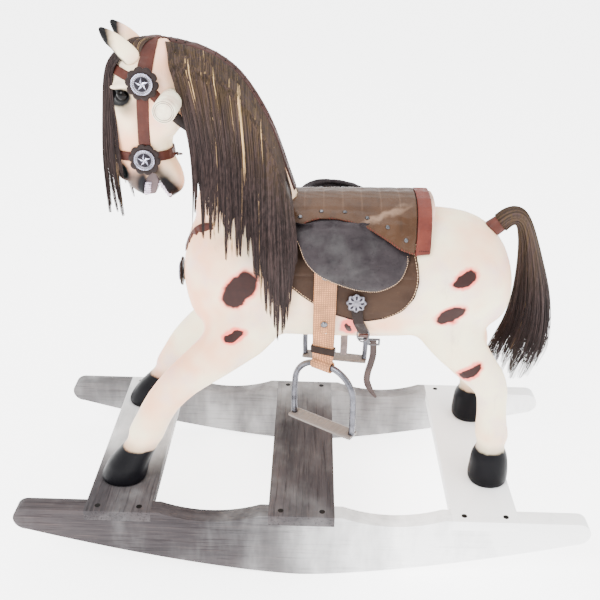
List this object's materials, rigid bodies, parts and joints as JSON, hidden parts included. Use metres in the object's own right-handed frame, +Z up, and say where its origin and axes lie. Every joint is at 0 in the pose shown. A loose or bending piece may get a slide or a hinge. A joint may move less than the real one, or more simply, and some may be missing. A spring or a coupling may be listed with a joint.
{
  "type": "rocking horse",
  "caption": "Carved toy horse with mane, bridle, saddle and hanging stirrups, standing on cross boards between two curved rockers for a child to ride.",
  "frame": {"origin": "on the floor plane under the middle of the stand", "axes": "-X forward (the horse's head), +Y to the horse's right, +Z up"},
  "size_m": [0.9998, 0.43, 0.907],
  "materials": {
    "stained_wood": "brushed dark stain",
    "painted_wood": "cream paint, satin",
    "steel": "satin",
    "silver": "engraved",
    "eye_glass": "gloss",
    "hair": "combed",
    "red_leather": "satin",
    "black_leather": "satin",
    "saddle_leather": "waxed gloss",
    "padded_leather": "soft satin",
    "webbing": "woven"
  },
  "bodies": {
    "horse_and_stand": {"rocker_left": "stained_wood", "rocker_right": "stained_wood", "front_board": "stained_wood", "center_board": "stained_wood", "rear_board": "stained_wood", "board_screws": "steel", "hoof_bolts": "steel", "torso": "painted_wood", "neck": "painted_wood", "head": "painted_wood", "left_ear": "painted_wood", "right_ear": "painted_wood", "eyes": "eye_glass", "left_foreleg": "painted_wood", "right_foreleg": "painted_wood", "left_hindleg": "painted_wood", "right_hindleg": "painted_wood", "left_hand_peg": "painted_wood", "right_hand_peg": "painted_wood", "mane": "hair", "mane_strip": "red_leather", "forelock": "hair", "tail_hair": "hair", "tail_wrap": "red_leather", "crown_strap": "red_leather", "browband": "red_leather", "noseband": "red_leather", "left_cheek_strap": "red_leather", "right_cheek_strap": "red_leather", "throat_strap": "red_leather", "bridle_rosettes": "black_leather", "bridle_conchos": "silver", "chin_ring": "steel", "breast_collar": "red_leather", "breast_rosette": "black_leather", "breast_concho": "silver", "saddle_block": "padded_leather", "saddle_cover": "saddle_leather", "saddle_binding": "red_leather", "saddle_studs": "silver", "left_skirt": "padded_leather", "right_skirt": "padded_leather", "left_flap": "saddle_leather", "right_flap": "saddle_leather", "flap_conchos": "silver", "girth_loops": "black_leather", "girth_rings": "steel", "girth_strap": "red_leather", "girth_buckle": "steel", "strap_pins": "steel"},
    "left_stirrup_leather": {"left_webbing": "webbing", "left_web_keeper": "black_leather", "web_rivets_left": "steel"},
    "left_stirrup": {"left_stirrup_iron": "steel"},
    "right_stirrup_leather": {"right_webbing": "webbing", "right_web_keeper": "black_leather", "web_rivets_right": "steel"},
    "right_stirrup": {"right_stirrup_iron": "steel"},
    "left_girth_tip": {"left_girth_end": "black_leather"},
    "right_girth_tip": {"right_girth_end": "black_leather"}
  },
  "joints": [
    {"name": "left_leather_swing", "type": "hinge", "parent": "horse_and_stand", "child": "left_stirrup_leather", "pos_m": [0.029, -0.1135, 0.543], "axis": [0, 1, 0], "range_deg": [-18, 18]},
    {"name": "left_stirrup_swing", "type": "hinge", "parent": "left_stirrup_leather", "child": "left_stirrup", "pos_m": [0.029, -0.1135, 0.377], "axis": [0.8387, -0.5446, 0], "range_deg": [-30, 36]},
    {"name": "right_leather_swing", "type": "hinge", "parent": "horse_and_stand", "child": "right_stirrup_leather", "pos_m": [0.058, 0.1135, 0.543], "axis": [0, 1, 0], "range_deg": [-8, 18]},
    {"name": "right_stirrup_swing", "type": "hinge", "parent": "right_stirrup_leather", "child": "right_stirrup", "pos_m": [0.058, 0.1135, 0.377], "axis": [0.9903, -0.1392, 0], "range_deg": [-45, 30]},
    {"name": "left_girth_tip_swing", "type": "hinge", "parent": "horse_and_stand", "child": "left_girth_tip", "pos_m": [0.118, -0.06, 0.388], "axis": [1, 0, 0], "range_deg": [-20, 20]},
    {"name": "right_girth_tip_swing", "type": "hinge", "parent": "horse_and_stand", "child": "right_girth_tip", "pos_m": [0.072, 0.046, 0.383], "axis": [1, 0, 0], "range_deg": [-20, 20]}
  ]
}
